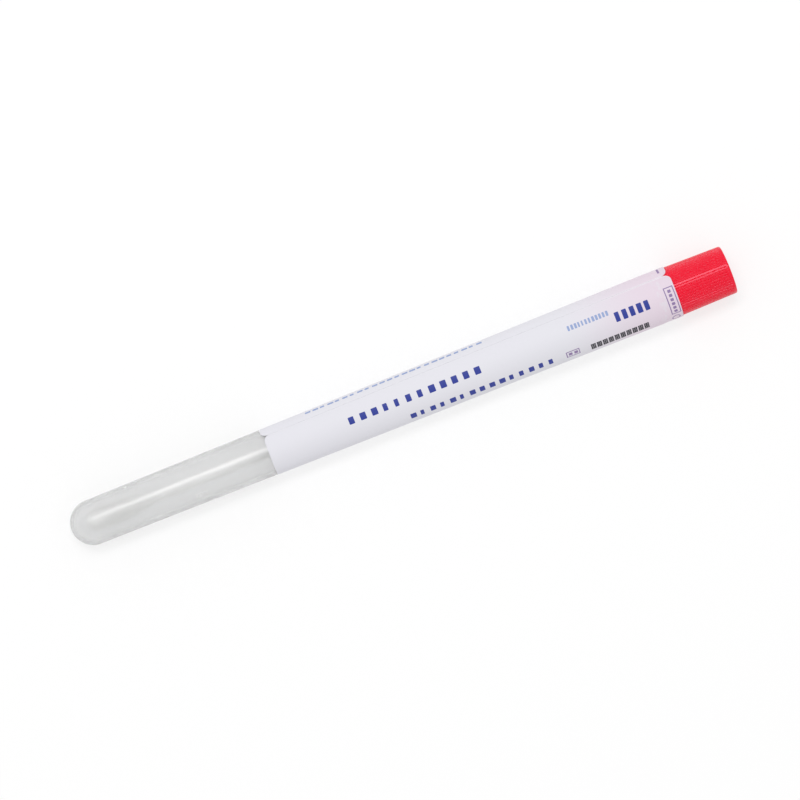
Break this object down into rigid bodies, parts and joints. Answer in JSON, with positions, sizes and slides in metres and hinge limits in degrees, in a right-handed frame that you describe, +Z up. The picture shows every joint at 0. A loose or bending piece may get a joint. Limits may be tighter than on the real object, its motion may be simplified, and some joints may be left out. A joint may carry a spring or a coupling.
{
  "type": "specimen swab tube",
  "caption": "Capped specimen swab tube lying on its side: labelled tapered plastic tube with a ribbed red plug cap that carries a fibre-tipped swab.",
  "frame": {"origin": "bottom centre of the bounding box, on the floor under the middle of the tube's length", "axes": "+X along the tube towards the cap (the axis rises 0.34 degrees with the tube's draft), +Z up, +Y to the side the label's seam leans to"},
  "size_m": [0.1682, 0.0128, 0.0128],
  "materials": {
    "clear_plastic": "milky translucent, smooth moulded",
    "label_sheet": "smooth coated white sheet, slightly translucent, with print in blue, grey and black",
    "red_plastic": "semi-gloss moulded, fine straight ribs",
    "white_plastic": "smooth extruded rod",
    "spun_fibre": "soft wound fibre"
  },
  "bodies": {
    "labelled_tube": {"tube": "clear_plastic", "label": "label_sheet"},
    "capped_swab": {"cap": "red_plastic", "swab_shaft": "white_plastic", "fibre_bud": "spun_fibre"}
  },
  "joints": [
    {"name": "cap_pull", "type": "slide", "parent": "labelled_tube", "child": "capped_swab", "axis": [1, 0, 0.0059], "range_m": [0, 0.155]}
  ]
}
